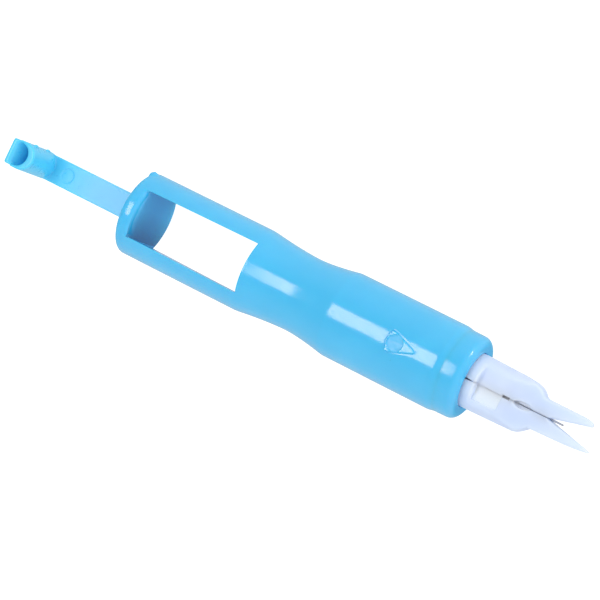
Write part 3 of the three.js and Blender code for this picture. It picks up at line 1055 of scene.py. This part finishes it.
def fork_plan():
    far = 12
    left = [Vector((CROTCH_X - 0.4, 0)), Vector((CROTCH_X, CROTCH_HALF))]
    left += bend((SHORT_TIP_X - 0.35, 1.75), (SHORT_TIP_X, 1.85), (SHORT_TIP_X, 2.2))
    left += bend((SHORT_TIP_X, 2.2), (SHORT_TIP_X - 0.1, 2.7), (SHORT_TIP_X - 1.8, LEFT_SIDE))
    left += [Vector((SHORT_TIP_X - 1.8, LEFT_SIDE))]
    left += bend((LEFT_ROOT_X, LEFT_SIDE), (LEFT_ROOT_X - 0.7, LEFT_SIDE), LEFT_BEND)
    left += bend(LEFT_BEND, (79.85, 4.75), (LEFT_SHOULDER_X, HEAD_R + 0.1), 10)
    left += [Vector((LEFT_SHOULDER_X, far)), Vector((TAIL_START - 1, far))]
    right = [Vector((TAIL_START - 1, -far)), Vector((RIGHT_SHOULDER[0], -far)), Vector(RIGHT_SHOULDER)]
    right += [Vector(RIGHT_ROOT), Vector((RIGHT_OUTER_X, RIGHT_SIDE))]
    right += bend((RIGHT_OUTER_X, RIGHT_SIDE), (90.15, -2.72), (LONG_TIP_X - 0.35, -2.35))
    right += bend((LONG_TIP_X - 0.35, -2.35), (LONG_TIP_X + 0.1, -2.15), (LONG_TIP_X - 0.3, -1.98))
    right += [Vector((LONG_TIP_X - 0.3, -1.98)), Vector((CROTCH_X, -CROTCH_HALF))]
    return [tuple(p) for p in left + right]


FORK_PLAN = fork_plan()


def half_height(x):
    """Height of the flats above the middle, with the bends between their slopes eased."""
    stations = [FLAT_START, FLAT_END, ROOT_X, LONG_TIP_X + 1]
    heights = [FLAT_Z, FLAT_Z, ROOT_Z, TIP_Z]
    shifts = np.linspace(-0.9, 0.9, 7)
    return sum(np.interp(x + shift, stations, heights) for shift in shifts) / len(shifts)


def fork_field(x, y, z):
    """Both halves together, without the right one's panel."""
    from_axis = np.hypot(y, z)
    front_r = np.interp(x, [FLAT_START, HEAD_FRONT_X], [HEAD_R, HEAD_FRONT_R])
    body = blend_max(from_axis - front_r, COLLAR_END + 0.02 - x, 0.3)
    tail = blend_max(from_axis - NECK_R + 0.02, TAIL_START - x, 0.3)
    solid = np.minimum(body, tail)
    flats = blend_min(x - FLAT_START, np.abs(z) - half_height(x), 0.6)
    solid = blend_max(solid, flats, 0.45)
    solid = blend_max(solid, outline_distance(x, y, FORK_PLAN), 0.55)
    slit = np.abs(y) - np.interp(x, [FACE_X, SLIT_END], [SLIT_HALF, 0])
    solid = blend_max(solid, -np.maximum(slit, x - SLIT_END - 0.3), 0.1)
    sleeve_way = np.maximum(from_axis - SLEEVE_WAY_R, x - SLEEVE_WAY_END)
    wire_way = np.minimum(sleeve_way, from_axis - WIRE_WAY_R)
    oval = (np.hypot((x - OVAL_X) / OVAL_HALF_X, y / OVAL_HALF_Y) - 1) * OVAL_HALF_Y
    oval = blend_max(oval, OVAL_FLOOR - z, 0.4)
    notch = np.maximum(np.abs(y) - NOTCH_HALF, NOTCH_FLOOR - z)
    notch = np.maximum(between(x, NOTCH_START, NOTCH_END), notch)
    slot = np.maximum(np.maximum(SLOT_START - x, x - CROTCH_X), np.maximum(np.abs(y) - SLOT_HALF, -z))
    ways = np.minimum(np.minimum(wire_way, notch), slot)
    solid = blend_max(solid, -ways, 0.12)
    solid = blend_max(solid, -oval, 0.35)
    thin_left, thin_right = (
        np.maximum(between(x, *along), between(y, *across))
        for along, across in (THIN_LEFT, THIN_RIGHT)
    )
    thinned = np.maximum(np.minimum(thin_left, thin_right), z - THIN_TOP)
    return blend_max(solid, -thinned, 0.3)


def panelled_field(x, y, z):
    panel = np.maximum(between(x, FLAT_START + 0.1, FLAT_END), -PANEL_FAR - y)
    return blend_max(fork_field(x, y, z), -blend_max(panel, PANEL_FLOOR - z, 0.06), 0.06)


def fork_half(name, node, sign, field):
    """Parts the head along its middle plane and closes the cut."""
    spare, far = 3 * FORK_STEP, HEAD_R + 0.2
    low = (TAIL_START - 0.2, -spare if sign > 0 else -far, -far)
    high = (LONG_TIP_X + 0.2, far if sign > 0 else spare, far)

    def half(x, y, z):
        return np.maximum(field(x, y, z), -sign * y - 0.5 * spare)

    vertices, quads = skin(half, low, high, FORK_STEP)
    bm = bmesh.new()
    mesh = bpy.data.meshes.new(name)
    mesh.from_pydata([tuple(v) for v in vertices], [], [tuple(q) for q in quads])
    bm.from_mesh(mesh)
    normal = (0, -sign, 0)
    plane = (0, sign * PARTING_GAP, 0)
    everything = bm.verts[:] + bm.edges[:] + bm.faces[:]
    bmesh.ops.bisect_plane(bm, geom=everything, plane_co=plane, plane_no=normal, clear_outer=True)
    rim = [e for e in bm.edges if e.is_boundary]
    bmesh.ops.triangle_fill(bm, edges=rim, use_beauty=False, use_dissolve=False)
    bmesh.ops.recalc_face_normals(bm, faces=bm.faces)
    bm.to_mesh(mesh)
    bm.free()
    return finish_piece(name, mesh, "fork_head", [node], MILKY, SKIN_CREASE)


def fork():
    fork_half("fork_half_left", "fork_left", 1, fork_field)
    fork_half("fork_half_right", "fork_right", -1, panelled_field)


barrel()
nose_ring()
inner_pieces()
threading_wire()
coil_spring()
inserter_arm()
fork()


# ---------- Camera ----------

TILT = math.radians(20.5)  # of the tool's front end towards the camera
ROLL = math.radians(2.7)  # of the tool about its own axis
TURN = math.radians(26.72)  # of the tool in the picture, clockwise
DISTANCE = 447.0
LENS = 155.3
AIM = (34.775, -1.037, 0.052)


def camera():
    """Looks from above and ahead, with the tool running down to the right."""
    along = Vector((math.cos(TILT) * math.cos(TURN), -math.cos(TILT) * math.sin(TURN), math.sin(TILT)))
    across = Vector((math.sin(TURN), math.cos(TURN), 0))
    rise = along.cross(across)
    left = across * math.cos(ROLL) + rise * math.sin(ROLL)
    up = rise * math.cos(ROLL) - across * math.sin(ROLL)
    turn = Matrix((along, left, up))
    data = bpy.data.cameras.new("camera")
    data.lens = LENS
    data.sensor_width = 36
    data.clip_start = 0.01
    item = bpy.data.objects.new("camera", data)
    bpy.context.scene.collection.objects.link(item)
    stand = place(*AIM) + turn @ Vector((0, 0, DISTANCE * MM))
    item.matrix_world = Matrix.Translation(stand) @ turn.to_4x4()
    bpy.context.scene.camera = item


# ---------- Light and floor ----------

TOOL_MIDDLE = 35.0

def softbox(name, direction, distance, size, power):
    """A rectangular light that faces the middle of the tool."""
    data = bpy.data.lights.new(name, "AREA")
    data.shape = "RECTANGLE"
    data.size, data.size_y = size
    data.energy = power
    item = bpy.data.objects.new(name, data)
    bpy.context.scene.collection.objects.link(item)
    direction = Vector(direction).normalized()
    item.location = place(TOOL_MIDDLE, 0, 0) + direction * distance
    side = Vector((1, 0, 0)) - direction * direction.x
    side.normalize()
    item.matrix_world = Matrix.Translation(item.location) @ Matrix(
        (side, direction.cross(side), direction)
    ).transposed().to_4x4()
    item.visible_camera = False
    return item


WORLD_ABOVE = 0.55
WORLD_BELOW = 0.7
WORLD_SIDES = 0.5
WORLD_AHEAD = 0.6
SHADOW_SIDE = (0.35, 0, -0.94)  # middle of the dim patch below the front end
SHADOW_SHARE = 0.4


def studio_world():
    """White surroundings: brighter to the sides, ahead and below, with a dim patch below the front."""
    world = bpy.data.worlds.new("studio")
    world.use_nodes = True
    nodes, links = world.node_tree.nodes, world.node_tree.links
    where = nodes.new("ShaderNodeTexCoord")
    parts = nodes.new("ShaderNodeSeparateXYZ")
    links.new(where.outputs["Generated"], parts.inputs[0])

    def graded(value, start, end, low, high):
        node = nodes.new("ShaderNodeMapRange")
        node.interpolation_type = "SMOOTHSTEP"
        for name, number in (("From Min", start), ("From Max", end), ("To Min", low), ("To Max", high)):
            node.inputs[name].default_value = number
        links.new(value, node.inputs["Value"])
        return node.outputs["Result"]

    def combined(operation, first, second=None):
        node = nodes.new("ShaderNodeMath")
        node.operation = operation
        links.new(first, node.inputs[0])
        if second is not None:
            links.new(second, node.inputs[1])
        return node.outputs["Value"]

    sideways = combined("ABSOLUTE", parts.outputs["Y"])
    even = graded(parts.outputs["Z"], -0.9, -0.2, WORLD_BELOW, WORLD_ABOVE)
    sides = graded(sideways, 0.35, 1, 0, WORLD_SIDES)
    ahead = graded(parts.outputs["X"], 0, 1, 0, WORLD_AHEAD)
    total = combined("ADD", combined("ADD", even, sides), ahead)
    towards = nodes.new("ShaderNodeVectorMath")
    towards.operation = "DOT_PRODUCT"
    towards.inputs[1].default_value = SHADOW_SIDE
    links.new(where.outputs["Generated"], towards.inputs[0])
    patch = graded(towards.outputs["Value"], 0.86, 0.99, 1, SHADOW_SHARE)
    links.new(combined("MULTIPLY", total, patch), nodes["Background"].inputs["Strength"])
    nodes["Background"].inputs["Color"].default_value = (0.97, 0.985, 1.0, 1)
    return world


def light():
    bpy.context.scene.world = studio_world()
    softbox("overhead", (-0.294, 0.01, 0.956), 0.6, (0.164, 0.33), 1.12)
    softbox("front_left", (0.72, 0.69, 0.11), 0.6, (0.11, 0.1), 0.5)


def floor():
    """A pale sheet lit from behind, so that the tool throws no shadow on it."""
    low = cad_box[0]
    bm = bmesh.new()
    bmesh.ops.create_grid(bm, x_segments=2, y_segments=2, size=1.5)
    mesh = bpy.data.meshes.new("floor")
    bm.to_mesh(mesh)
    bm.free()
    item = bpy.data.objects.new("floor", mesh)
    bpy.context.scene.collection.objects.link(item)
    item.location.z = low[2] - 0.00005
    shader = Shader("floor_white")
    tone = shader.noise(3, detail=3)
    white = shader.ramp(tone, [(0.3, (0.33, 0.335, 0.34)), (0.7, (0.35, 0.355, 0.36))])
    shader.wire(white, shader.surface.inputs["Base Color"])
    shader.fixed(Roughness=0.75, Emission_Color=(1, 1, 1, 1), Emission_Strength=0.95)
    mesh.materials.append(shader.material)
    item.visible_glossy = False
    item.visible_diffuse = False


camera()
light()
floor()
bpy.context.scene.view_settings.view_transform = "Standard"
